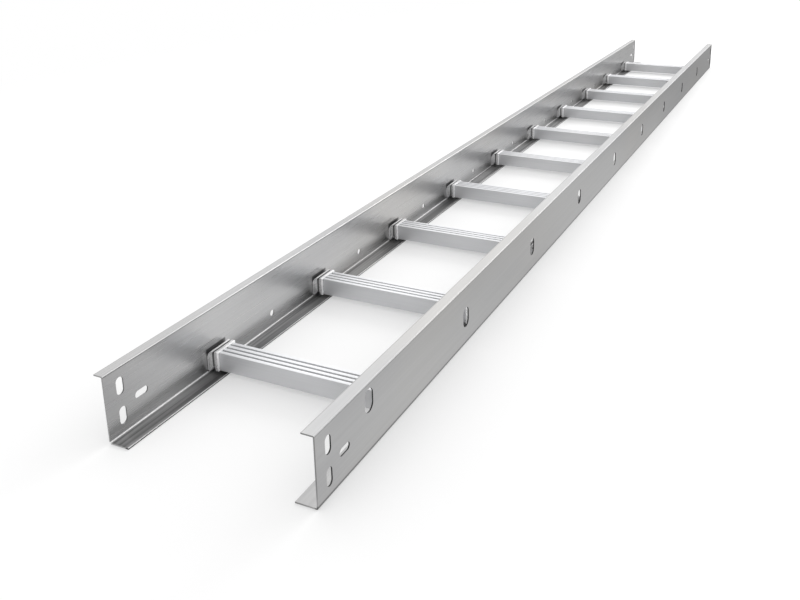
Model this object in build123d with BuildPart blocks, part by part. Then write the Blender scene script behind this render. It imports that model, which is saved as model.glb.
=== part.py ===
from build123d import *
import os

os.makedirs("parts", exist_ok=True)

# Cable ladder section lying as it rests on a floor.
# Its length runs along Y with the near end at -Y, its width along X, and Z is up.
# The origin is the middle of the floor area that the section covers.

# overall sizes
section_length = 3048.0
overall_width = 338.0
rail_height = 100.0
sheet = 2.0
bend_inside = 0.8
bend_outside = bend_inside + sheet
edge_round = 0.4

# flanges, each measured from the outer face of its own web
left_top_flange = 13.0
right_top_flange = 19.0
bottom_flange = 33.0

# outer faces of the two webs
left_web_x = -overall_width / 2 + left_top_flange
right_web_x = overall_width / 2
left_inner_x = left_web_x + sheet
right_inner_x = right_web_x - sheet

# rungs
rung_count = 10
rung_from_end = 219.0
rung_pitch = (section_length - 2 * rung_from_end) / (rung_count - 1)
rung_depth = 36.0
rung_height = 30.0
rung_wall = 2.0
rung_top_wall = 3.2
rung_corner = 1.0
groove_count = 3
groove_pitch = 9.6
groove_width = 3.6
groove_depth = 1.6
rung_above_flange = 4.5
rung_underside = sheet + rung_above_flange
rung_middle = rung_underside + rung_height / 2
first_rung_y = -rung_pitch * (rung_count - 1) / 2

# rung-end brackets, extruded pieces between the web and the end of a rung
bracket_reach = 20.0
bracket_plate = 5.5
bracket_plate_foot = 5.0
bracket_proud = 3.5
bracket_rise = 1.7
bracket_depth = rung_depth + 2 * bracket_proud
bracket_height = rung_height + bracket_rise
leaf_drop = 2.0
leaf_foot = 4.0
leaf_straight = 18.0
leaf_tip_reach = 8.5
leaf_tip_width = 1.0
notch_centre = 11.8
notch_floor = 0.8
top_notch_depth = 6.5
bottom_notch_depth = 8.5
rung_length = right_inner_x - left_inner_x - 2 * bracket_reach
rung_middle_x = (left_inner_x + right_inner_x) / 2

# slots at the rail ends for the splice plates
end_slot_width = 13.0
end_slot_length = 26.0
end_slot_from_end = 27.0
end_slot_heights = (28.0, 72.0)
long_slot_width = 11.0
long_slot_length = 24.0
long_slot_from_end = 63.0
long_slot_height = 43.0

# wide slots along the right web
wide_slot_width = 22.0
wide_slot_length = 34.0
wide_slot_height = 47.0
wide_slot_count = 8
wide_slot_from_near_end = 438.0
wide_slot_from_far_end = 363.0
wide_slot_row = section_length - wide_slot_from_near_end - wide_slot_from_far_end
wide_slot_pitch = wide_slot_row / (wide_slot_count - 1)
high_slot_from_end = 125.0
high_slot_height = 75.0

# round holes along the left web, halfway between the rungs
web_hole_diameter = 11.0
web_hole_height = 24.0

half_length = section_length / 2
end_rows = (-half_length + end_slot_from_end, half_length - end_slot_from_end)
long_rows = (-half_length + long_slot_from_end, half_length - long_slot_from_end)
end_slot_places = [(y, z) for y in end_rows for z in end_slot_heights]
long_slot_places = [(y, long_slot_height) for y in long_rows]
wide_slot_places = [
    (-half_length + wide_slot_from_near_end + number * wide_slot_pitch, wide_slot_height)
    for number in range(wide_slot_count)
]
wide_slot_places.append((-half_length + high_slot_from_end, high_slot_height))
web_hole_places = [
    (first_rung_y + (number + 0.5) * rung_pitch, web_hole_height)
    for number in range(rung_count - 1)
]
cut_clearance = 1.0
cut_depth = sheet + 2 * cut_clearance

# left side rail: top flange outward, bottom flange inward
with BuildPart() as side_rail_left:
    with BuildSketch(Plane.XZ) as left_section:
        with BuildLine():
            Polyline(
                (left_web_x - left_top_flange, rail_height),
                (left_inner_x, rail_height),
                (left_inner_x, sheet),
                (left_web_x + bottom_flange, sheet),
                (left_web_x + bottom_flange, 0),
                (left_web_x, 0),
                (left_web_x, rail_height - sheet),
                (left_web_x - left_top_flange, rail_height - sheet),
                close=True,
            )
        make_face()
        left_corners = left_section.vertices()
        fillet(
            [
                left_corners.sort_by_distance((left_inner_x, rail_height))[0],
                left_corners.sort_by_distance((left_web_x, 0))[0],
            ],
            radius=bend_outside,
        )
        left_corners = left_section.vertices()
        fillet(
            [
                left_corners.sort_by_distance((left_inner_x, sheet))[0],
                left_corners.sort_by_distance((left_web_x, rail_height - sheet))[0],
            ],
            radius=bend_inside,
        )
        left_corners = left_section.vertices()
        fillet(
            [
                left_corners.sort_by_distance((left_web_x - left_top_flange, rail_height))[0],
                left_corners.sort_by_distance((left_web_x - left_top_flange, rail_height - sheet))[0],
                left_corners.sort_by_distance((left_web_x + bottom_flange, 0))[0],
                left_corners.sort_by_distance((left_web_x + bottom_flange, sheet))[0],
            ],
            radius=edge_round,
        )
    extrude(amount=half_length, both=True)
    with BuildSketch(Plane.YZ.offset(left_web_x - cut_clearance)):
        with Locations(*end_slot_places):
            SlotOverall(end_slot_length, end_slot_width, rotation=90)
        with Locations(*long_slot_places):
            SlotOverall(long_slot_length, long_slot_width)
        with Locations(*web_hole_places):
            Circle(web_hole_diameter / 2)
    extrude(amount=cut_depth, mode=Mode.SUBTRACT)
side_rail_left.part.label = "side_rail_left"
export_step(side_rail_left.part, "parts/side_rail_left.step")

# right side rail: both flanges inward
with BuildPart() as side_rail_right:
    with BuildSketch(Plane.XZ) as right_section:
        with BuildLine():
            Polyline(
                (right_web_x - right_top_flange, rail_height),
                (right_web_x, rail_height),
                (right_web_x, 0),
                (right_web_x - bottom_flange, 0),
                (right_web_x - bottom_flange, sheet),
                (right_inner_x, sheet),
                (right_inner_x, rail_height - sheet),
                (right_web_x - right_top_flange, rail_height - sheet),
                close=True,
            )
        make_face()
        right_corners = right_section.vertices()
        fillet(
            [
                right_corners.sort_by_distance((right_web_x, rail_height))[0],
                right_corners.sort_by_distance((right_web_x, 0))[0],
            ],
            radius=bend_outside,
        )
        right_corners = right_section.vertices()
        fillet(
            [
                right_corners.sort_by_distance((right_inner_x, rail_height - sheet))[0],
                right_corners.sort_by_distance((right_inner_x, sheet))[0],
            ],
            radius=bend_inside,
        )
        right_corners = right_section.vertices()
        fillet(
            [
                right_corners.sort_by_distance((right_web_x - right_top_flange, rail_height))[0],
                right_corners.sort_by_distance((right_web_x - right_top_flange, rail_height - sheet))[0],
                right_corners.sort_by_distance((right_web_x - bottom_flange, 0))[0],
                right_corners.sort_by_distance((right_web_x - bottom_flange, sheet))[0],
            ],
            radius=edge_round,
        )
    extrude(amount=half_length, both=True)
    with BuildSketch(Plane.YZ.offset(right_inner_x - cut_clearance)):
        with Locations(*end_slot_places):
            SlotOverall(end_slot_length, end_slot_width, rotation=90)
        with Locations(*long_slot_places):
            SlotOverall(long_slot_length, long_slot_width)
        with Locations(*wide_slot_places):
            SlotOverall(wide_slot_length, wide_slot_width, rotation=90)
    extrude(amount=cut_depth, mode=Mode.SUBTRACT)
side_rail_right.part.label = "side_rail_right"
export_step(side_rail_right.part, "parts/side_rail_right.step")

# one rung in its place: a hollow bar with grooves along its top
groove_centres = [
    ((number - (groove_count - 1) / 2) * groove_pitch, rung_height / 2)
    for number in range(groove_count)
]
for rung_number in range(rung_count):
    rung_y = first_rung_y + rung_number * rung_pitch
    rung_name = f"rung_{rung_number + 1:02d}"
    rung_plane = Plane(
        origin=(rung_middle_x, rung_y, rung_middle),
        x_dir=(0, 1, 0),
        z_dir=(1, 0, 0),
    )
    with BuildPart() as rung:
        with BuildSketch(rung_plane) as rung_section:
            RectangleRounded(rung_depth, rung_height, rung_corner)
            with Locations((0, (rung_wall - rung_top_wall) / 2)):
                Rectangle(
                    rung_depth - 2 * rung_wall,
                    rung_height - rung_wall - rung_top_wall,
                    mode=Mode.SUBTRACT,
                )
            with Locations(*groove_centres):
                Rectangle(groove_width, 2 * groove_depth, mode=Mode.SUBTRACT)
        extrude(amount=rung_length / 2, both=True)
    rung.part.label = rung_name
    export_step(rung.part, f"parts/{rung_name}.step")

# brackets at both ends of each rung, with a notch in the top and the underside
# and a leaf that stands against the web and curls away from it at the top
for rung_number in range(rung_count):
    rung_y = first_rung_y + rung_number * rung_pitch
    for side_name, web_face_x, inward in (
        ("left", left_inner_x, 1),
        ("right", right_inner_x, -1),
    ):
        bracket_name = f"rung_bracket_{side_name}_{rung_number + 1:02d}"
        bracket_plane = Plane(
            origin=(web_face_x, rung_y, rung_underside),
            x_dir=(inward, 0, 0),
            z_dir=(0, -inward, 0),
        )
        with BuildPart() as bracket:
            with BuildSketch(bracket_plane) as bracket_section:
                with BuildLine():
                    Line((0, -leaf_drop), (0, leaf_straight))
                    TangentArc(
                        (0, leaf_straight),
                        (leaf_tip_reach, bracket_height),
                        tangent=(0, 1),
                    )
                    Polyline(
                        (leaf_tip_reach, bracket_height),
                        (leaf_tip_reach + leaf_tip_width, bracket_height),
                        (notch_centre - notch_floor / 2, bracket_height - top_notch_depth),
                        (notch_centre + notch_floor / 2, bracket_height - top_notch_depth),
                        (bracket_reach - bracket_plate, bracket_height),
                        (bracket_reach, bracket_height),
                        (bracket_reach, 0),
                        (bracket_reach - bracket_plate_foot, 0),
                        (notch_centre + notch_floor / 2, bottom_notch_depth),
                        (notch_centre - notch_floor / 2, bottom_notch_depth),
                        (leaf_foot, -leaf_drop),
                        (0, -leaf_drop),
                    )
                make_face()
            extrude(amount=bracket_depth / 2, both=True)
        bracket.part.label = bracket_name
        export_step(bracket.part, f"parts/{bracket_name}.step")
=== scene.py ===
import math

import bpy
from mathutils import Euler, Matrix, Vector


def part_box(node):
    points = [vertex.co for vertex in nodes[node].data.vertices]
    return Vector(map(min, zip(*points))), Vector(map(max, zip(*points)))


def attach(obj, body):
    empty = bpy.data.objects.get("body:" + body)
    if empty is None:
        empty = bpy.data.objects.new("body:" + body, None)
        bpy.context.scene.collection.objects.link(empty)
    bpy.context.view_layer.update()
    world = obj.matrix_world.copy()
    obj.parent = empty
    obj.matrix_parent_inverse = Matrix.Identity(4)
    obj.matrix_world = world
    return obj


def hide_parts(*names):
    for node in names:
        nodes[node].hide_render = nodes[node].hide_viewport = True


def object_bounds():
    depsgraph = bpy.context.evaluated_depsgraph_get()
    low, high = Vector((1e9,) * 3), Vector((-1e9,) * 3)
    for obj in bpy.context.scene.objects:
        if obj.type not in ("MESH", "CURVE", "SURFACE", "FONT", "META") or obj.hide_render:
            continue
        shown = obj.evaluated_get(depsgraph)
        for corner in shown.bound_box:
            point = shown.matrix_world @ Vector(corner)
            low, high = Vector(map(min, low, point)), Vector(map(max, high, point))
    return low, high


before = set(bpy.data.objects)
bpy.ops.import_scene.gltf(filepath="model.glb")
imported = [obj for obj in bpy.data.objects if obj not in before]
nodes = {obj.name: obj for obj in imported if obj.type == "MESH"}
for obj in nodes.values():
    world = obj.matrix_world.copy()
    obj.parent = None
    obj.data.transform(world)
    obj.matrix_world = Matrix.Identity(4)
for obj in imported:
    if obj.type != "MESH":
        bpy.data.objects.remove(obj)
cadLow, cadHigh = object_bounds()
print("frame loaded with", len(nodes), "nodes")


# helpers
nodeGrid = {"columns": 8, "across": 220, "down": 340}


def wire(tree, value, socket):
    # another node's output is linked, and anything else becomes the input's own value
    if isinstance(value, bpy.types.NodeSocket):
        tree.links.new(value, socket)
    else:
        socket.default_value = value


def addNode(tree, kind, inputs, **settings):
    # the nodes of a tree stand in rows, in the order in which they are made
    row, column = divmod(len(tree.nodes), nodeGrid["columns"])
    node = tree.nodes.new(kind)
    node.location = (column * nodeGrid["across"], -row * nodeGrid["down"])
    for key, value in settings.items():
        setattr(node, key, value)
    for key, value in inputs.items():
        wire(tree, value, node.inputs[key])
    return node


def made(tree, kind, inputs, **settings):
    # the first output of a new node
    return addNode(tree, kind, inputs, **settings).outputs[0]


def newTree(name, kind, inputs, outputs):
    # inputs and outputs are rows of name, socket type and starting value
    tree = bpy.data.node_groups.new(name, kind)
    for rows, direction in ((inputs, "INPUT"), (outputs, "OUTPUT")):
        for row in rows:
            socket = tree.interface.new_socket(row[0], in_out=direction, socket_type="NodeSocket" + row[1])
            if len(row) > 2:
                socket.default_value = row[2]
    given = addNode(tree, "NodeGroupInput", {}).outputs
    result = addNode(tree, "NodeGroupOutput", {}).inputs
    return tree, given, result


def newMaterial(name):
    material = bpy.data.materials.new(name)
    material.use_nodes = True
    material.node_tree.nodes.clear()
    return material, material.node_tree


def calc(tree, operation, *values):
    # one maths node fed with numbers or outputs
    return made(tree, "ShaderNodeMath", dict(enumerate(values)), operation=operation)


def product(tree, first, *others):
    for other in others:
        first = calc(tree, "MULTIPLY", first, other)
    return first


def ramp(tree, value, fromMin, fromMax, toMin=0.0, toMax=1.0, kind="SMOOTHSTEP"):
    # a step from one level to another, soft unless the kind says otherwise
    inputs = dict(enumerate((value, fromMin, fromMax, toMin, toMax)))
    return made(tree, "ShaderNodeMapRange", inputs, interpolation_type=kind)


def blend(tree, share, first, second):
    # from the first number to the second
    return made(tree, "ShaderNodeMix", {0: share, 2: first, 3: second}, data_type="FLOAT")


def blendColour(tree, share, first, second):
    mix = addNode(tree, "ShaderNodeMix", {0: share, 6: first, 7: second}, data_type="RGBA")
    return mix.outputs[2]


def combine(tree, x, y, z):
    return made(tree, "ShaderNodeCombineXYZ", {0: x, 1: y, 2: z})


def split(tree, vector):
    return addNode(tree, "ShaderNodeSeparateXYZ", {0: vector}).outputs


def stretched(tree, vector, scale):
    return made(tree, "ShaderNodeVectorMath", {0: vector, 1: scale}, operation="MULTIPLY")


def noise(tree, vector, scale, detail, roughness=0.5):
    inputs = {"Vector": vector, "Scale": scale, "Detail": detail, "Roughness": roughness}
    return made(tree, "ShaderNodeTexNoise", inputs)


def join(tree, *parts):
    together = addNode(tree, "GeometryNodeJoinGeometry", {})
    for part in parts:
        tree.links.new(part, together.inputs[0])
    return together.outputs[0]


def drawOut(tree, section, length):
    # a closed bar from a flat section
    weldReach = 0.00001
    inputs = {
        "Mesh": section,
        "Offset": combine(tree, 0.0, 0.0, 1.0),
        "Offset Scale": length,
        "Individual": False,
    }
    bar = made(tree, "GeometryNodeExtrudeMesh", inputs, mode="FACES")
    backCap = made(tree, "GeometryNodeFlipFaces", {"Mesh": section})
    closed = join(tree, bar, backCap)
    return made(tree, "GeometryNodeMergeByDistance", {"Geometry": closed, "Distance": weldReach})


def copyRow(tree, shape, count, first, step, turn=0.0):
    # copies of a shape from the first place on, each turned about the upright line
    inputs = {"Count": count, "Start Location": first, "Offset": step}
    row = made(tree, "GeometryNodeMeshLine", inputs, mode="OFFSET", count_mode="TOTAL")
    inputs = {"Points": row, "Instance": shape, "Rotation": Euler((0.0, 0.0, turn))}
    return made(tree, "GeometryNodeInstanceOnPoints", inputs)


def paintWhole(tree, shape, metal):
    # copies become plain mesh and get their metal
    real = made(tree, "GeometryNodeRealizeInstances", {"Geometry": shape})
    return made(tree, "GeometryNodeSetMaterial", {"Geometry": real, "Material": metal})


def bakeTree(name, baseMesh, tree, values, softEdge):
    # puts the tree on an object, sets its inputs, and keeps the result as a plain mesh
    maker = bpy.data.objects.new(name + "Maker", baseMesh)
    bpy.context.scene.collection.objects.link(maker)
    modifier = maker.modifiers.new("make", "NODES")
    modifier.node_group = tree
    sockets = {item.name: item.identifier for item in tree.interface.items_tree if item.in_out == "INPUT"}
    for key, value in values.items():
        modifier[sockets[key]] = value
    bevel = maker.modifiers.new("soft edges", "BEVEL")
    bevel.width = softEdge["width"]
    bevel.segments = softEdge["segments"]
    bevel.limit_method = "ANGLE"
    bevel.angle_limit = math.radians(softEdge["angle"])
    bevel.use_clamp_overlap = True
    bpy.context.view_layer.update()
    depsgraph = bpy.context.evaluated_depsgraph_get()
    mesh = bpy.data.meshes.new_from_object(maker.evaluated_get(depsgraph), depsgraph=depsgraph)
    bpy.data.objects.remove(maker)
    mesh.name = name
    piece = bpy.data.objects.new(name, mesh)
    bpy.context.scene.collection.objects.link(piece)
    for polygon in mesh.polygons:
        polygon.use_smooth = True
    mesh.set_sharp_from_angle(angle=math.radians(softEdge["smoothAngle"]))
    return piece


# metal effects shared by the materials; a pair is where an effect starts and where it is full
effectLook = {
    "coarseGrain": (0.3, 0.7),  # noise levels of the broader brushed lines
    "fineGrain": (3.1, 2.3, 3.1),  # how much closer the fine lines lie
    "cloud": (0.35, 0.65),  # noise levels of the light and dark clouds
    "warmCloud": (0.45, 0.7),
    "warmScale": 0.7,
    "warmShift": (17.0, 5.0, 11.0),  # keeps the warm clouds apart from the others
    "streak": (0.36, 0.62),
    "streakStretch": (170.0, 2.6, 1.0),
    "streakFacing": (0.5, 0.95),  # how far a face has to look up for streaks
    "gainFacing": (0.6, 0.95),  # the same for the gain of level faces
    "seamFacing": (0.35, 0.65),  # the same for a seam's level gain
    "seamCore": 0.6,  # share of a seam's reach at full strength
    # a seam brighter than this gain is a painted highlight
    "seamHighlightGain": 1.05,  # gain past which a seam counts as a bright edge
    "shadeFacing": (0.5, 0.8),  # how far a face has to look inward for the bracket shade
    "sawnFacing": (0.6, 0.9),  # how far a face has to look along the rail to count as sawn
    "notchSoftness": 0.0003,
    # the leaf's edge by the web is a painted highlight
    "leafEdge": (0.001, 0.0022),  # metres from the web over which the leaf's edge fades
    "slotFacing": 0.4,  # walls that look less than this across the rail are a slot's own
    "slotEndMargin": 0.002,  # keeps the slot shade off the rail's cut end
}


def newEffect(name, values, *outputs):
    # a group that works from a point and from the way its face looks
    inputs = [("Vector", "Vector"), ("Normal", "Vector")]
    inputs += [(key, "Float", value) for key, value in values.items()]
    tree, given, result = newTree(name, "ShaderNodeTree", inputs, [(key, "Float") for key in outputs])
    return tree, given, result, split(tree, given["Vector"]), split(tree, given["Normal"])


def makeBrushedGrain(look):
    # fine lines drawn along the metal, as a coarse and a fine mask
    tree, given, result = newTree(
        "brushedGrain",
        "ShaderNodeTree",
        [("Vector", "Vector"), ("Stretch", "Vector", (400.0, 4.0, 400.0))],
        [("Streaks", "Float"), ("Fine", "Float")],
    )
    lines = stretched(tree, given["Vector"], given["Stretch"])
    coarse = noise(tree, lines, scale=1.0, detail=3.0, roughness=0.6)
    wire(tree, ramp(tree, coarse, *look["coarseGrain"], kind="LINEAR"), result["Streaks"])
    finer = stretched(tree, lines, look["fineGrain"])
    wire(tree, noise(tree, finer, scale=1.0, detail=2.0), result["Fine"])
    return tree


def makeRolledTone(look):
    # soft cloudy differences of tone that rolling and handling leave on sheet and bar
    tree, given, result = newTree(
        "rolledTone",
        "ShaderNodeTree",
        [
            ("Vector", "Vector"),
            ("Stretch", "Vector", (9.0, 2.0, 9.0)),
            ("Light", "Color", (0.5, 0.5, 0.5, 1.0)),
            ("Dark", "Color", (0.4, 0.4, 0.4, 1.0)),
            ("Warm", "Color", (0.45, 0.44, 0.42, 1.0)),
            ("Warmth", "Float", 0.3),
        ],
        [("Color", "Color")],
    )
    drawn = stretched(tree, given["Vector"], given["Stretch"])
    cloud = ramp(tree, noise(tree, drawn, scale=1.0, detail=2.0), *look["cloud"])
    tone = blendColour(tree, cloud, given["Dark"], given["Light"])
    shifted = made(tree, "ShaderNodeVectorMath", {0: drawn, 1: look["warmShift"]}, operation="ADD")
    warmCloud = noise(tree, shifted, scale=look["warmScale"], detail=1.0)
    warmCloud = ramp(tree, warmCloud, *look["warmCloud"])
    share = calc(tree, "MULTIPLY", warmCloud, given["Warmth"])
    wire(tree, blendColour(tree, share, tone, given["Warm"]), result["Color"])
    return tree


def makeFlangeStreaks(look):
    # draws dark streaks along low level faces
    values = {"Height": 0.003, "Amount": 0.3}
    tree, given, result, place, facing = newEffect("flangeStreaks", values, "Factor")
    low = calc(tree, "LESS_THAN", place["Z"], given["Height"])
    upward = ramp(tree, facing["Z"], *look["streakFacing"])
    lines = stretched(tree, given["Vector"], look["streakStretch"])
    streak = ramp(tree, noise(tree, lines, scale=1.0, detail=2.0), *look["streak"])
    shade = product(tree, low, upward, streak, given["Amount"])
    wire(tree, calc(tree, "SUBTRACT", 1.0, shade), result["Factor"])
    return tree


def makeSeamLightAndShade(look):
    # paints highlight and shade beside a fold or a cut edge that runs along the rail,
    # apart for the faces that look up and the faces that look sideways
    values = {"Across": 0.0, "Height": 0.0, "Reach": 0.003, "Level Gain": 1.0, "Side Gain": 1.0}
    tree, given, result, _, facing = newEffect("seamLightAndShade", values, "Factor", "Edge")
    seam = combine(tree, given["Across"], 0.0, given["Height"])
    flat = stretched(tree, given["Vector"], (1.0, 0.0, 1.0))
    distance = addNode(tree, "ShaderNodeVectorMath", {0: flat, 1: seam}, operation="DISTANCE")
    core = calc(tree, "MULTIPLY", given["Reach"], look["seamCore"])
    near = ramp(tree, distance.outputs["Value"], core, given["Reach"], 1.0, 0.0)
    upward = ramp(tree, facing["Z"], *look["seamFacing"])
    gain = blend(tree, upward, given["Side Gain"], given["Level Gain"])
    wire(tree, blend(tree, near, 1.0, gain), result["Factor"])
    # the Edge output marks where the seam is a painted highlight
    bright = calc(tree, "GREATER_THAN", gain, look["seamHighlightGain"])
    wire(tree, calc(tree, "MULTIPLY", bright, near), result["Edge"])
    return tree


def makeSlotShade(look):
    # dims the thin walls inside the slots and holes of a rail's upright web
    values = {"Low": 0.006, "High": 0.094, "End": 1.5, "Amount": 0.5}
    tree, given, result, place, facing = newEffect("slotShade", values, "Factor")
    shade = product(
        tree,
        calc(tree, "GREATER_THAN", place["Z"], given["Low"]),
        calc(tree, "LESS_THAN", place["Z"], given["High"]),
        calc(tree, "LESS_THAN", calc(tree, "ABSOLUTE", place["Y"]), given["End"]),
        calc(tree, "LESS_THAN", calc(tree, "ABSOLUTE", facing["X"]), look["slotFacing"]),
        given["Amount"],
    )
    wire(tree, calc(tree, "SUBTRACT", 1.0, shade), result["Factor"])
    return tree


def makeLevelLightAndShade(look):
    # changes the tone of the level faces above one height and below another, as painted light and shade
    values = {"Top": 0.098, "Top Gain": 1.0, "Low": 0.004, "Low Gain": 1.0}
    tree, given, result, place, facing = newEffect("levelLightAndShade", values, "Factor", "Low Mask")
    level = ramp(tree, facing["Z"], *look["gainFacing"])
    factor = 1.0
    for operation, limit in (("GREATER_THAN", "Top"), ("LESS_THAN", "Low")):
        mask = calc(tree, "MULTIPLY", calc(tree, operation, place["Z"], given[limit]), level)
        change = calc(tree, "SUBTRACT", given[limit + " Gain"], 1.0)
        factor = calc(tree, "MULTIPLY_ADD", mask, change, factor)
    wire(tree, factor, result["Factor"])
    wire(tree, mask, result["Low Mask"])  # the last mask is the low one
    return tree


def makeBracketShade(look):
    # darkens a rail's inner face close round each rung bracket
    values = {
        "Inward": 1.0,
        "First": 0.0,
        "Pitch": 0.29,
        "Half Depth": 0.02,
        "Top": 0.038,
        "Spread": 0.0022,
        "Amount": 0.7,
    }
    tree, given, result, place, facing = newEffect("bracketShade", values, "Factor")
    fromFirst = calc(tree, "SUBTRACT", place["Y"], given["First"])
    fromRung = calc(tree, "PINGPONG", fromFirst, calc(tree, "MULTIPLY", given["Pitch"], 0.5))
    beside = calc(tree, "MAXIMUM", calc(tree, "SUBTRACT", fromRung, given["Half Depth"]), 0.0)
    above = calc(tree, "MAXIMUM", calc(tree, "SUBTRACT", place["Z"], given["Top"]), 0.0)
    squares = calc(tree, "ADD", product(tree, beside, beside), product(tree, above, above))
    near = ramp(tree, calc(tree, "SQRT", squares), 0.0, given["Spread"], 1.0, 0.0)
    inside = ramp(tree, calc(tree, "MULTIPLY", facing["X"], given["Inward"]), *look["shadeFacing"])
    wire(tree, calc(tree, "SUBTRACT", 1.0, product(tree, near, inside, given["Amount"])), result["Factor"])
    return tree


def fromNearerSide(tree, place, given):
    # how far a point is from the nearer of the left and the right plane
    fromLeft = calc(tree, "SUBTRACT", place["X"], given["Left"])
    fromRight = calc(tree, "SUBTRACT", given["Right"], place["X"])
    return calc(tree, "MINIMUM", fromLeft, fromRight)


def makeBracketLightAndShade(look):
    # by the distance from the web: a light leaf and curl, a dark notch of painted shade, and a light plate
    # whose edge towards the rung is a painted highlight
    values = {
        "Left": 0.0,
        "Right": 0.0,
        "Leaf": 0.0098,
        "Plate": 0.0136,
        "Edge": 0.0172,
        "Rung End": 0.0195,
        "Curl Tone": 1.2,
        "Notch Tone": 0.15,
        "Leaf Tone": 1.2,
        "Plate Tone": 1.1,
        "Edge Tone": 1.9,
        "Leaf Edge Tone": 2.0,
        "Slit Tone": 0.22,
    }
    tree, given, result, place, facing = newEffect("bracketLightAndShade", values, "Factor")
    away = fromNearerSide(tree, place, given)
    softness = look["notchSoftness"]
    pastLeaf = ramp(tree, away, given["Leaf"], calc(tree, "ADD", given["Leaf"], softness))
    pastNotch = ramp(tree, away, calc(tree, "SUBTRACT", given["Plate"], softness), given["Plate"])
    plate = ramp(tree, away, given["Edge"], given["Rung End"], given["Plate Tone"], given["Edge Tone"])
    # the faces along the outline
    curl = ramp(tree, pastLeaf, 0.0, 1.0, given["Curl Tone"], given["Notch Tone"])
    folded = blend(tree, pastNotch, curl, plate)
    # the sawn end faces, with the slit between leaf and plate as painted shade and the leaf's edge by the web
    # as a painted highlight
    leaf = ramp(tree, away, *look["leafEdge"], given["Leaf Edge Tone"], given["Leaf Tone"])
    slit = ramp(tree, pastLeaf, 0.0, 1.0, leaf, given["Slit Tone"])
    sawn = ramp(tree, pastNotch, 0.0, 1.0, slit, plate)
    ends = ramp(tree, calc(tree, "ABSOLUTE", facing["Y"]), *look["sawnFacing"])
    wire(tree, blend(tree, ends, folded, sawn), result["Factor"])
    return tree


def makeEndShade():
    # a thin dark line where a rung meets its brackets
    values = {"Left": 0.0, "Right": 0.0, "Width": 0.0015, "Tone": 0.5}
    tree, given, result, place, _ = newEffect("endShade", values, "Factor")
    away = fromNearerSide(tree, place, given)
    wire(tree, ramp(tree, away, 0.0, given["Width"], given["Tone"], 1.0), result["Factor"])
    return tree


brushedGrain = makeBrushedGrain(effectLook)
rolledTone = makeRolledTone(effectLook)
flangeStreaks = makeFlangeStreaks(effectLook)
seamLightAndShade = makeSeamLightAndShade(effectLook)
slotShade = makeSlotShade(effectLook)
levelLightAndShade = makeLevelLightAndShade(effectLook)
bracketShade = makeBracketShade(effectLook)
bracketLightAndShade = makeBracketLightAndShade(effectLook)
endShade = makeEndShade()
print("metal effects ready")


def makeSatinMetal(name, look):
    material, tree = newMaterial(name)
    place = addNode(tree, "ShaderNodeTexCoord", {}).outputs
    rays = addNode(tree, "ShaderNodeLightPath", {}).outputs
    inputs = {"Vector": place["Object"], "Stretch": look["grainStretch"]}
    grain = addNode(tree, "ShaderNodeGroup", inputs, node_tree=brushedGrain).outputs
    inputs = {
        "Vector": place["Object"],
        "Stretch": look["toneStretch"],
        "Light": (*look["light"], 1.0),
        "Dark": (*look["dark"], 1.0),
        "Warm": (*look["warm"], 1.0),
        "Warmth": look["warmth"],
    }
    tone = made(tree, "ShaderNodeGroup", inputs, node_tree=rolledTone)
    contrast = look["grainContrast"]
    factor = ramp(tree, grain["Streaks"], 0.0, 1.0, 1.0 - contrast, 1.0 + contrast, "LINEAR")
    # the painted light and shade of the low faces has a gain of its own in mirror images
    change = look["mirroredLowGain"] - look["lowGain"]
    levels = {
        "Top": look["topHeight"],
        "Top Gain": look["topGain"],
        "Low": look["lowHeight"],
        "Low Gain": calc(tree, "MULTIPLY_ADD", rays["Is Glossy Ray"], change, look["lowGain"]),
    }
    # every effect's factor is multiplied onto the grain's
    effects = [
        (flangeStreaks, {"Amount": look["streaks"]}),
        (slotShade, {"End": cadHigh.y - effectLook["slotEndMargin"], "Amount": look["slotAmount"]}),
        (levelLightAndShade, levels),
    ]
    effects += [(seamLightAndShade, seam) for seam in look["seams"]]
    effects += look["extras"]
    edge = 0.0
    lowMask = 0.0
    for group, values in effects:
        inputs = {"Vector": place["Object"], "Normal": place["Normal"], **values}
        effect = addNode(tree, "ShaderNodeGroup", inputs, node_tree=group).outputs
        factor = calc(tree, "MULTIPLY", factor, effect["Factor"])
        if group == seamLightAndShade:
            edge = calc(tree, "MAXIMUM", edge, effect["Edge"])
        elif group == levelLightAndShade:
            lowMask = effect["Low Mask"]
    colour = made(tree, "ShaderNodeVectorMath", {0: tone, "Scale": factor}, operation="SCALE")
    rough = ramp(tree, grain["Fine"], 0.0, 1.0, *look["roughness"], kind="LINEAR")
    inputs = {
        "Strength": look["bumpStrength"],
        "Distance": look["bumpDepth"],
        "Height": grain["Streaks"],
    }
    bump = made(tree, "ShaderNodeBump", inputs)
    # the seams' painted highlight lines are less metallic, so that the diffuse light keeps them bright
    lessMetallic = look["highlightMetallic"] - look["metallic"]
    inputs = {
        "Base Color": colour,
        "Metallic": calc(tree, "MULTIPLY_ADD", edge, lessMetallic, look["metallic"]),
        "Roughness": calc(tree, "MULTIPLY_ADD", lowMask, look["lowRoughness"], rough),
        "Normal": bump,
    }
    shader = made(tree, "ShaderNodeBsdfPrincipled", inputs)
    addNode(tree, "ShaderNodeOutputMaterial", {"Surface": shader})
    return material


rungNames = sorted(name for name in nodes if name.startswith("rung_") and "bracket" not in name)
bracketNames = sorted(name for name in nodes if name.startswith("rung_bracket"))
firstLow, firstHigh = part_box(rungNames[0])
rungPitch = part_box(rungNames[1])[0].y - firstLow.y
leftLow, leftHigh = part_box("rung_bracket_left_01")
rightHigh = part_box("rung_bracket_right_01")[1]
bracketRow = {
    "First": (firstLow.y + firstHigh.y) / 2,
    "Pitch": rungPitch,
    "Half Depth": (leftHigh.y - leftLow.y) / 2,
    "Top": leftHigh.z,
}
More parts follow.
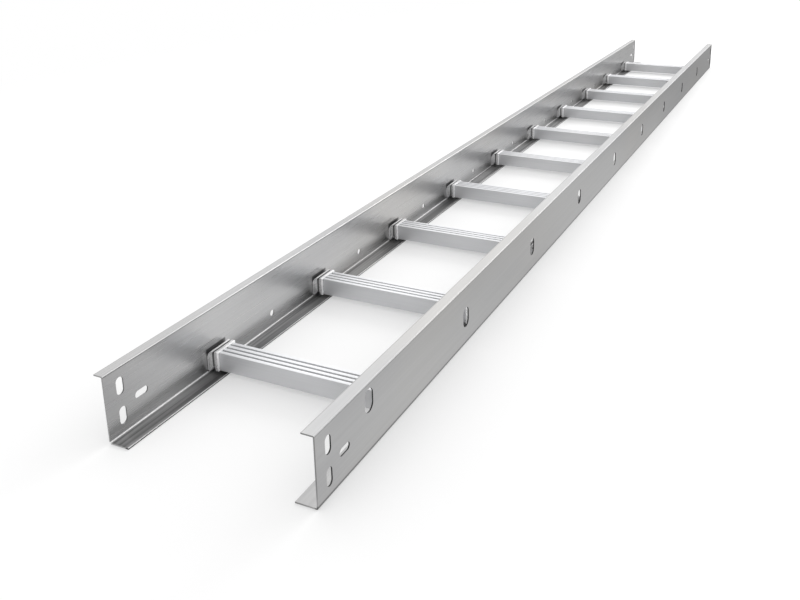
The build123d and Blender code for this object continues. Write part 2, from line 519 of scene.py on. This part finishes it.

# side rails: the frame's own, each with its own copy of the metal, as painted light and shade: the left one
# lighter with darker top and low faces, the right one darker with lighter top and low faces
railSizes = {"sheet": 0.002, "leftTopFlange": 0.013, "rightTopFlange": 0.019}
railSheet = railSizes["sheet"]
leftRailLow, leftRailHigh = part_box("side_rail_left")
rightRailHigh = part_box("side_rail_right")[1]
leftInner = leftRailLow.x + railSizes["leftTopFlange"] + railSheet
rightFlangeEdge = rightRailHigh.x - railSizes["rightTopFlange"]
leftTop = {"Across": leftInner, "Height": leftRailHigh.z}
rightTop = {"Across": rightRailHigh.x, "Height": rightRailHigh.z}
leftRailLook = {
    "metallic": 0.95,
    "highlightMetallic": 0.3,
    "slotAmount": 0.6,
    # painted shade on the top and low faces, less of it on the low faces in mirror images
    "topHeight": 0.098,
    "topGain": 0.82,
    "lowHeight": 0.004,
    "lowGain": 0.72,
    "mirroredLowGain": 0.88,
    "grainStretch": (300.0, 3.0, 300.0),
    "toneStretch": (7.0, 2.2, 7.0),
    "light": (0.6, 0.6, 0.6),
    "dark": (0.53, 0.53, 0.535),
    "warm": (0.59, 0.575, 0.555),
    "warmth": 0.5,
    "grainContrast": 0.035,
    "roughness": (0.23, 0.35),
    "lowRoughness": 0.25,
    "bumpStrength": 0.12,
    "bumpDepth": 0.0002,
    "streaks": 0.5,
    "seams": [
        # painted highlights on the fold above the bottom flange and on that flange's cut edge, then painted
        # shade on the cut edge's side
        {"Across": leftInner, "Height": railSheet, "Reach": 0.002, "Level Gain": 2.0, "Side Gain": 1.9},
        {"Across": leftRailHigh.x, "Height": railSheet, "Reach": 0.0024, "Level Gain": 2.4, "Side Gain": 1.0},
        {"Across": leftRailHigh.x, "Height": 0.0, "Reach": 0.006, "Level Gain": 1.0, "Side Gain": 0.06},
        # painted shade beside the top fold and a painted highlight on it, then painted shade at the top
        # flange's edge
        {**leftTop, "Reach": 0.0035, "Level Gain": 1.0, "Side Gain": 0.6},
        {**leftTop, "Reach": 0.002, "Level Gain": 1.45, "Side Gain": 1.0},
        {**leftTop, "Across": leftRailLow.x, "Reach": 0.002, "Level Gain": 0.85, "Side Gain": 0.7},
    ],
    "extras": [(bracketShade, {"Inward": 1.0, **bracketRow})],
}
rightRailLook = {
    "metallic": 0.95,
    "highlightMetallic": 0.3,
    "slotAmount": 0.85,
    # painted light on the top and low faces
    "topHeight": 0.098,
    "topGain": 1.4,
    "lowHeight": 0.004,
    "lowGain": 1.25,
    "mirroredLowGain": 1.25,
    "grainStretch": (300.0, 3.0, 300.0),
    "toneStretch": (7.0, 2.2, 7.0),
    "light": (0.4, 0.4, 0.4),
    "dark": (0.36, 0.36, 0.365),
    "warm": (0.39, 0.38, 0.365),
    "warmth": 0.5,
    "grainContrast": 0.03,
    "roughness": (0.26, 0.4),
    "lowRoughness": 0.0,
    "bumpStrength": 0.12,
    "bumpDepth": 0.0002,
    "streaks": 0.1,
    "seams": [
        # a painted highlight on the top fold with painted shade beside it, painted shade at the top flange's
        # edge and beside the fold at the floor
        {**rightTop, "Reach": 0.003, "Level Gain": 1.2, "Side Gain": 0.9},
        {**rightTop, "Across": rightFlangeEdge, "Reach": 0.002, "Level Gain": 0.8, "Side Gain": 0.6},
        {**rightTop, "Height": 0.0, "Reach": 0.006, "Level Gain": 1.0, "Side Gain": 0.35},
    ],
    "extras": [(bracketShade, {"Inward": -1.0, **bracketRow})],
}
for name, metalName, look in (
    ("side_rail_left", "leftRailMetal", leftRailLook),
    ("side_rail_right", "rightRailMetal", rightRailLook),
):
    railMetal = makeSatinMetal(metalName, look)
    for slot in nodes[name].material_slots:
        slot.material = railMetal
print("side rails finished")


# rungs: one tree makes the whole row
rungLook = {
    "metallic": 0.3,
    "highlightMetallic": 0.3,
    "slotAmount": 0.0,
    # painted highlight on the rib tops and painted shade on the groove floors
    "topHeight": 0.036,
    "topGain": 1.36,
    "lowHeight": 0.0355,
    "lowGain": 0.55,
    "mirroredLowGain": 0.55,
    "grainStretch": (5.0, 900.0, 900.0),
    "toneStretch": (5.0, 3.0, 9.0),
    "light": (0.69, 0.695, 0.71),
    "dark": (0.63, 0.635, 0.65),
    "warm": (0.66, 0.65, 0.64),
    "warmth": 0.2,
    "grainContrast": 0.03,
    "roughness": (0.45, 0.6),
    "lowRoughness": 0.0,
    "bumpStrength": 0.2,
    "bumpDepth": 0.00012,
    "streaks": 0.0,
    "seams": [],
    "extras": [(endShade, {"Left": firstLow.x, "Right": firstHigh.x})],
}
rungSizes = {
    "wall": 0.002,
    "topWall": 0.0032,
    "cornerRound": 0.001,
    "grooveCount": 3,
    "groovePitch": 0.0096,
    "grooveWidth": 0.0036,
    "grooveDepth": 0.0016,
    "softEdge": {"width": 0.0003, "segments": 2, "angle": 40.0, "smoothAngle": 35.0},
}


def makeRungTree():
    tree, given, result = newTree(
        "rungRow",
        "GeometryNodeTree",
        [
            ("Geometry", "Geometry"),
            ("Rung Count", "Int", 10),
            ("Pitch", "Float", 0.29),
            ("First Rung", "Vector"),
            ("Length", "Float", 0.3),
            ("Depth", "Float", 0.036),
            ("Height", "Float", 0.03),
            ("Wall", "Float", 0.002),
            ("Top Wall", "Float", 0.0032),
            ("Corner Round", "Float", 0.0012),
            ("Groove Count", "Int", 3),
            ("Groove Pitch", "Float", 0.0096),
            ("Groove Width", "Float", 0.0036),
            ("Groove Depth", "Float", 0.0016),
            ("Metal", "Material"),
        ],
        [("Geometry", "Geometry")],
    )
    cornerSteps = 3
    pastEnds = 1.2  # the groove cutters are this much longer than the rung
    rectangle = "GeometryNodeCurvePrimitiveQuadrilateral"

    # the section: a rounded outline with a smaller one inside it
    outline = made(tree, rectangle, {"Width": given["Depth"], "Height": given["Height"]})
    inputs = {"Count": cornerSteps, "Curve": outline, "Radius": given["Corner Round"]}
    rounded = made(tree, "GeometryNodeFilletCurve", inputs, mode="POLY")
    doubleWall = calc(tree, "MULTIPLY", given["Wall"], 2.0)
    bothWalls = calc(tree, "ADD", given["Wall"], given["Top Wall"])
    inputs = {
        "Width": calc(tree, "SUBTRACT", given["Depth"], doubleWall),
        "Height": calc(tree, "SUBTRACT", given["Height"], bothWalls),
    }
    hollow = made(tree, rectangle, inputs)
    wallGap = calc(tree, "SUBTRACT", given["Wall"], given["Top Wall"])
    down = combine(tree, 0.0, calc(tree, "MULTIPLY", wallGap, 0.5), 0.0)
    lowered = made(tree, "GeometryNodeTransform", {"Geometry": hollow, "Translation": down})
    section = made(tree, "GeometryNodeFillCurve", {"Curve": join(tree, rounded, lowered)}, mode="TRIANGLES")
    bar = drawOut(tree, section, given["Length"])
    # grooves along the top
    twiceDeep = calc(tree, "MULTIPLY", given["Groove Depth"], 2.0)
    longer = calc(tree, "MULTIPLY", given["Length"], pastEnds)
    inputs = {"Size": combine(tree, given["Groove Width"], twiceDeep, longer)}
    groove = made(tree, "GeometryNodeMeshCube", inputs)
    fewer = calc(tree, "SUBTRACT", given["Groove Count"], 1.0)
    span = calc(tree, "MULTIPLY", fewer, given["Groove Pitch"])
    firstGroove = combine(
        tree,
        calc(tree, "MULTIPLY", span, -0.5),
        calc(tree, "MULTIPLY", given["Height"], 0.5),
        calc(tree, "MULTIPLY", given["Length"], 0.5),
    )
    sideways = combine(tree, given["Groove Pitch"], 0.0, 0.0)
    grooves = copyRow(tree, groove, given["Groove Count"], firstGroove, sideways)
    cutters = made(tree, "GeometryNodeRealizeInstances", {"Geometry": grooves})
    inputs = {"Mesh 1": bar, "Mesh 2": cutters}
    ribbed = made(tree, "GeometryNodeMeshBoolean", inputs, operation="DIFFERENCE", solver="EXACT")
    # laid across the ladder and repeated along it
    inputs = {"Geometry": ribbed, "Rotation": Euler((math.pi / 2, 0.0, math.pi / 2))}
    across = made(tree, "GeometryNodeTransform", inputs)
    step = combine(tree, 0.0, given["Pitch"], 0.0)
    rungs = copyRow(tree, across, given["Rung Count"], given["First Rung"], step)
    wire(tree, paintWhole(tree, rungs, given["Metal"]), result["Geometry"])
    return tree


rungMetal = makeSatinMetal("satinRungMetal", rungLook)
rungRow = bakeTree(
    "rungRow",
    bpy.data.meshes.new("rungRowBase"),
    makeRungTree(),
    {
        "Rung Count": len(rungNames),
        "Pitch": rungPitch,
        "First Rung": (firstLow.x, (firstLow.y + firstHigh.y) / 2, (firstLow.z + firstHigh.z) / 2),
        "Length": firstHigh.x - firstLow.x,
        "Depth": firstHigh.y - firstLow.y,
        "Height": firstHigh.z - firstLow.z,
        "Wall": rungSizes["wall"],
        "Top Wall": rungSizes["topWall"],
        "Corner Round": rungSizes["cornerRound"],
        "Groove Count": rungSizes["grooveCount"],
        "Groove Pitch": rungSizes["groovePitch"],
        "Groove Width": rungSizes["grooveWidth"],
        "Groove Depth": rungSizes["grooveDepth"],
        "Metal": rungMetal,
    },
    rungSizes["softEdge"],
)
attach(rungRow, "root")
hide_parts(*rungNames)
print("rungs made:", len(rungRow.data.polygons), "faces")


# rung-end brackets
bracketLook = {
    "metallic": 0.35,
    "highlightMetallic": 0.35,
    "slotAmount": 0.0,
    # a painted highlight on the top faces
    "topHeight": 0.037,
    "topGain": 1.1,
    "lowHeight": 0.0,
    "lowGain": 1.0,
    "mirroredLowGain": 1.0,
    "grainStretch": (500.0, 12.0, 500.0),
    "toneStretch": (30.0, 30.0, 30.0),
    "light": (0.72, 0.72, 0.725),
    "dark": (0.52, 0.52, 0.525),
    "warm": (0.62, 0.61, 0.6),
    "warmth": 0.2,
    "grainContrast": 0.35,
    "roughness": (0.32, 0.5),
    "lowRoughness": 0.0,
    "bumpStrength": 0.3,
    "bumpDepth": 0.00015,
    "streaks": 0.0,
    "seams": [],
    "extras": [(bracketLightAndShade, {"Left": leftLow.x, "Right": rightHigh.x})],
}
bracketSizes = {
    "plate": 0.0055,
    "plateFoot": 0.005,
    "leafDrop": 0.002,
    "leafFoot": 0.004,
    "leafStraight": 0.018,
    "leafTipReach": 0.0085,
    "leafTipWidth": 0.001,
    "notchCentre": 0.0118,
    "notchFloor": 0.0008,
    "topNotch": 0.0065,
    "bottomNotch": 0.0085,
    "curlSteps": 10,
    "softEdge": {"width": 0.0007, "segments": 3, "angle": 30.0, "smoothAngle": 35.0},
}


def bracketOutline(sizes, reach, height):
    # the bracket's end view: x away from the web, y up from the rung's underside
    points = [(0.0, -sizes["leafDrop"]), (0.0, sizes["leafStraight"])]
    rise = height - sizes["leafStraight"]
    out = sizes["leafTipReach"]
    radius = (rise * rise + out * out) / (2 * out)
    turn = math.asin(rise / radius)
    for step in range(1, sizes["curlSteps"] + 1):
        angle = turn * step / sizes["curlSteps"]
        points.append((radius * (1 - math.cos(angle)), sizes["leafStraight"] + radius * math.sin(angle)))
    notchLeft = sizes["notchCentre"] - sizes["notchFloor"] / 2
    notchRight = sizes["notchCentre"] + sizes["notchFloor"] / 2
    points += [
        (out + sizes["leafTipWidth"], height),
        (notchLeft, height - sizes["topNotch"]),
        (notchRight, height - sizes["topNotch"]),
        (reach - sizes["plate"], height),
        (reach, height),
        (reach, 0.0),
        (reach - sizes["plateFoot"], 0.0),
        (notchRight, sizes["bottomNotch"]),
        (notchLeft, sizes["bottomNotch"]),
        (sizes["leafFoot"], -sizes["leafDrop"]),
    ]
    return points


def outlineMesh(name, points):
    mesh = bpy.data.meshes.new(name)
    count = len(points)
    mesh.from_pydata([(x, y, 0.0) for x, y in points], [(n, (n + 1) % count) for n in range(count)], [])
    return mesh


def makeBracketTree():
    tree, given, result = newTree(
        "rungBrackets",
        "GeometryNodeTree",
        [
            ("Geometry", "Geometry"),
            ("Rung Count", "Int", 10),
            ("Pitch", "Float", 0.29),
            ("First Left", "Vector"),
            ("First Right", "Vector"),
            ("Depth", "Float", 0.043),
            ("Metal", "Material"),
        ],
        [("Geometry", "Geometry")],
    )
    outline = made(tree, "GeometryNodeMeshToCurve", {"Mesh": given["Geometry"]})
    section = made(tree, "GeometryNodeFillCurve", {"Curve": outline}, mode="NGONS")
    bar = drawOut(tree, section, given["Depth"])
    back = combine(tree, 0.0, 0.0, calc(tree, "MULTIPLY", given["Depth"], -0.5))
    centred = made(tree, "GeometryNodeTransform", {"Geometry": bar, "Translation": back})
    inputs = {"Geometry": centred, "Rotation": Euler((math.pi / 2, 0.0, 0.0))}
    upright = made(tree, "GeometryNodeTransform", inputs)
    # a row along each rail, the right one turned round
    step = combine(tree, 0.0, given["Pitch"], 0.0)
    rows = [
        copyRow(tree, upright, given["Rung Count"], given[side], step, turn)
        for side, turn in (("First Left", 0.0), ("First Right", math.pi))
    ]
    wire(tree, paintWhole(tree, join(tree, *rows), given["Metal"]), result["Geometry"])
    return tree


bracketMetal = makeSatinMetal("sawnBracketMetal", bracketLook)
middleY = (leftLow.y + leftHigh.y) / 2
bracketReach = leftHigh.x - leftLow.x
bracketHeight = leftHigh.z - leftLow.z - bracketSizes["leafDrop"]
footHeight = leftLow.z + bracketSizes["leafDrop"]
rungBrackets = bakeTree(
    "rungBrackets",
    outlineMesh("bracketEndView", bracketOutline(bracketSizes, bracketReach, bracketHeight)),
    makeBracketTree(),
    {
        "Rung Count": len(rungNames),
        "Pitch": rungPitch,
        "First Left": (leftLow.x, middleY, footHeight),
        "First Right": (rightHigh.x, middleY, footHeight),
        "Depth": leftHigh.y - leftLow.y,
        "Metal": bracketMetal,
    },
    bracketSizes["softEdge"],
)
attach(rungBrackets, "root")
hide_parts(*bracketNames)
print("brackets made:", len(rungBrackets.data.polygons), "faces")


# floor
floorLook = {
    "size": 120.0,
    "colour": (0.93, 0.93, 0.93),
    "reach": (1.6, 3.2),  # metres across and along that count as beside the ladder
    "fade": (0.5, 1.5),  # from where to where plain white takes over, as shares of that reach
    "nearShare": 0.38,  # how far the camera sees the floor as plain white beside the ladder
    "farShare": 1.0,  # the same well away from it
    "mirrored": 0.92,  # how bright the metal mirrors it
    # along the ladder: where that is changed most, where no more, and how many times as bright it is
    "mirroredNear": (-1.5, -1.25, 0.62),
    "mirroredFar": (1.4, -0.4, 0.6),
    "mirroredOutside": (-1.3, -0.85, 1.14),  # stands for the near one on the right rail's outer side
    "outsideEdge": (0.1, 0.18),  # across the ladder, where that side begins
    "gap": 0.0003,  # metres below the ladder
}


def makeFloor(look):
    half = look["size"] / 2
    z = cadLow.z - look["gap"]
    corners = [(-half, -half, z), (half, -half, z), (half, half, z), (-half, half, z)]
    mesh = bpy.data.meshes.new("studioFloor")
    mesh.from_pydata(corners, [], [(0, 1, 2, 3)])
    floor = bpy.data.objects.new("studioFloor", mesh)
    bpy.context.scene.collection.objects.link(floor)
    material, tree = newMaterial("paleFloor")
    place = addNode(tree, "ShaderNodeTexCoord", {}).outputs["Object"]
    rays = addNode(tree, "ShaderNodeLightPath", {}).outputs
    # white takes over with distance, and only for the camera
    squeezed = stretched(tree, place, (1.0 / look["reach"][0], 1.0 / look["reach"][1], 0.0))
    away = addNode(tree, "ShaderNodeVectorMath", {0: squeezed}, operation="LENGTH").outputs["Value"]
    fade = ramp(tree, away, *look["fade"], look["nearShare"], look["farShare"])
    seen = calc(tree, "MULTIPLY", rays["Is Camera Ray"], fade)
    # the metal mirrors it as a glow of its own, a painted reflection that is less bright towards the ladder's
    # ends
    where = split(tree, place)
    outside = ramp(tree, where["Y"], *look["mirroredOutside"], 1.0)
    outside = calc(tree, "MULTIPLY", outside, ramp(tree, where["X"], *look["outsideEdge"]))
    near = calc(tree, "MAXIMUM", ramp(tree, where["Y"], *look["mirroredNear"], 1.0), outside)
    far = ramp(tree, where["Y"], *look["mirroredFar"], 1.0)
    dimmed = calc(tree, "SUBTRACT", 1.0, product(tree, near, far, look["mirrored"]))
    dimmed = calc(tree, "MULTIPLY", dimmed, rays["Is Glossy Ray"])
    glow = made(tree, "ShaderNodeEmission", {"Strength": calc(tree, "SUBTRACT", 1.0, dimmed)})
    diffuse = made(tree, "ShaderNodeBsdfDiffuse", {"Color": (*look["colour"], 1.0)})
    share = calc(tree, "ADD", rays["Is Glossy Ray"], seen)
    mix = made(tree, "ShaderNodeMixShader", {0: share, 1: diffuse, 2: glow})
    addNode(tree, "ShaderNodeOutputMaterial", {"Surface": mix})
    mesh.materials.append(material)


makeFloor(floorLook)

# studio light
worldLook = {"ambient": 0.85, "mirrored": 0.55, "seen": 1.0}  # seen by the camera
# lamps that the metal mirrors, and one that only lights
lampLook = {
    "overhead": {
        "place": (-2.5, 2.8, 4.2),
        "aim": (0.0, 0.0, 0.0),
        "size": (8.0, 4.5),
        "power": 88.0,
        "mirrored": True,
    },
    "behind": {
        "place": (-3.2, 6.0, 2.0),
        "aim": (0.0, 0.0, 0.2),
        "size": (11.5, 3.4),
        "power": 64.0,
        "mirrored": True,
    },
    "edges": {
        "place": (3.2, 4.6, 2.8),
        "aim": (0.0, 0.0, 0.0),
        "size": (5.0, 3.4),
        "power": 100.0,
        "mirrored": True,
    },
    "key": {
        "place": (0.4, 5.0, 3.0),
        "aim": (0.0, 0.0, 0.0),
        "size": (4.0, 2.0),
        "power": 130.0,
        "mirrored": False,
    },
}


def makeWorld(look):
    # white, with one strength for light, one for the camera and one for mirror images
    world = bpy.data.worlds.new("studio")
    bpy.context.scene.world = world
    world.use_nodes = True
    tree = world.node_tree
    tree.nodes.clear()
    rays = addNode(tree, "ShaderNodeLightPath", {}).outputs
    strength = look["ambient"]
    for ray, level in (("Is Camera Ray", "seen"), ("Is Glossy Ray", "mirrored")):
        strength = calc(tree, "MULTIPLY_ADD", rays[ray], look[level] - look["ambient"], strength)
    white = made(tree, "ShaderNodeBackground", {"Color": (1.0, 1.0, 1.0, 1.0), "Strength": strength})
    addNode(tree, "ShaderNodeOutputWorld", {"Surface": white})


def makeLamp(name, look):
    light = bpy.data.lights.new(name, "AREA")
    light.shape = "RECTANGLE"
    light.size, light.size_y = look["size"]
    light.energy = look["power"]
    lamp = bpy.data.objects.new(name, light)
    lamp.location = look["place"]
    lamp.visible_glossy = look["mirrored"]
    lamp.rotation_euler = (Vector(look["aim"]) - Vector(look["place"])).to_track_quat("-Z", "Y").to_euler()
    bpy.context.scene.collection.objects.link(lamp)


makeWorld(worldLook)
for lampName, look in lampLook.items():
    makeLamp(lampName, look)
print("studio ready")

# camera
cameraLook = {
    "place": (0.6722, -2.2478, 0.6876),  # metres, in the ladder's own frame
    "turn": 24.486,  # degrees to the left of the rails' direction
    "tilt": 15.974,  # degrees below level
    "roll": 0.465,
    "picture": (800.0, 600.0),  # pixels across and down, which the next two count in
    "focalPixels": 870.5,
    "centre": (450.0, 150.0),  # the pixel that the lens points at
    "sensor": 36.0,  # millimetres across
    "reach": (0.05, 200.0),
}


def makeCamera(look):
    width, height = look["picture"]
    data = bpy.data.cameras.new("photoCamera")
    data.sensor_fit = "HORIZONTAL"
    data.sensor_width = look["sensor"]
    data.lens = look["focalPixels"] * look["sensor"] / width
    data.shift_x = (width / 2 - look["centre"][0]) / width
    data.shift_y = (look["centre"][1] - height / 2) / width
    data.clip_start, data.clip_end = look["reach"]
    camera = bpy.data.objects.new("photoCamera", data)
    turn, tilt, roll = (math.radians(look[key]) for key in ("turn", "tilt", "roll"))
    ahead = Vector((-math.sin(turn) * math.cos(tilt), math.cos(turn) * math.cos(tilt), -math.sin(tilt)))
    right = ahead.cross(Vector((0.0, 0.0, 1.0))).normalized()
    up = right.cross(ahead)
    rolledRight = right * math.cos(roll) - up * math.sin(roll)
    rolledUp = right * math.sin(roll) + up * math.cos(roll)
    turnMatrix = Matrix((rolledRight, rolledUp, -ahead)).transposed()
    camera.matrix_world = Matrix.Translation(look["place"]) @ turnMatrix.to_4x4()
    bpy.context.scene.collection.objects.link(camera)
    bpy.context.scene.camera = camera


makeCamera(cameraLook)
bpy.context.scene.view_settings.view_transform = "Standard"
print("camera ready")
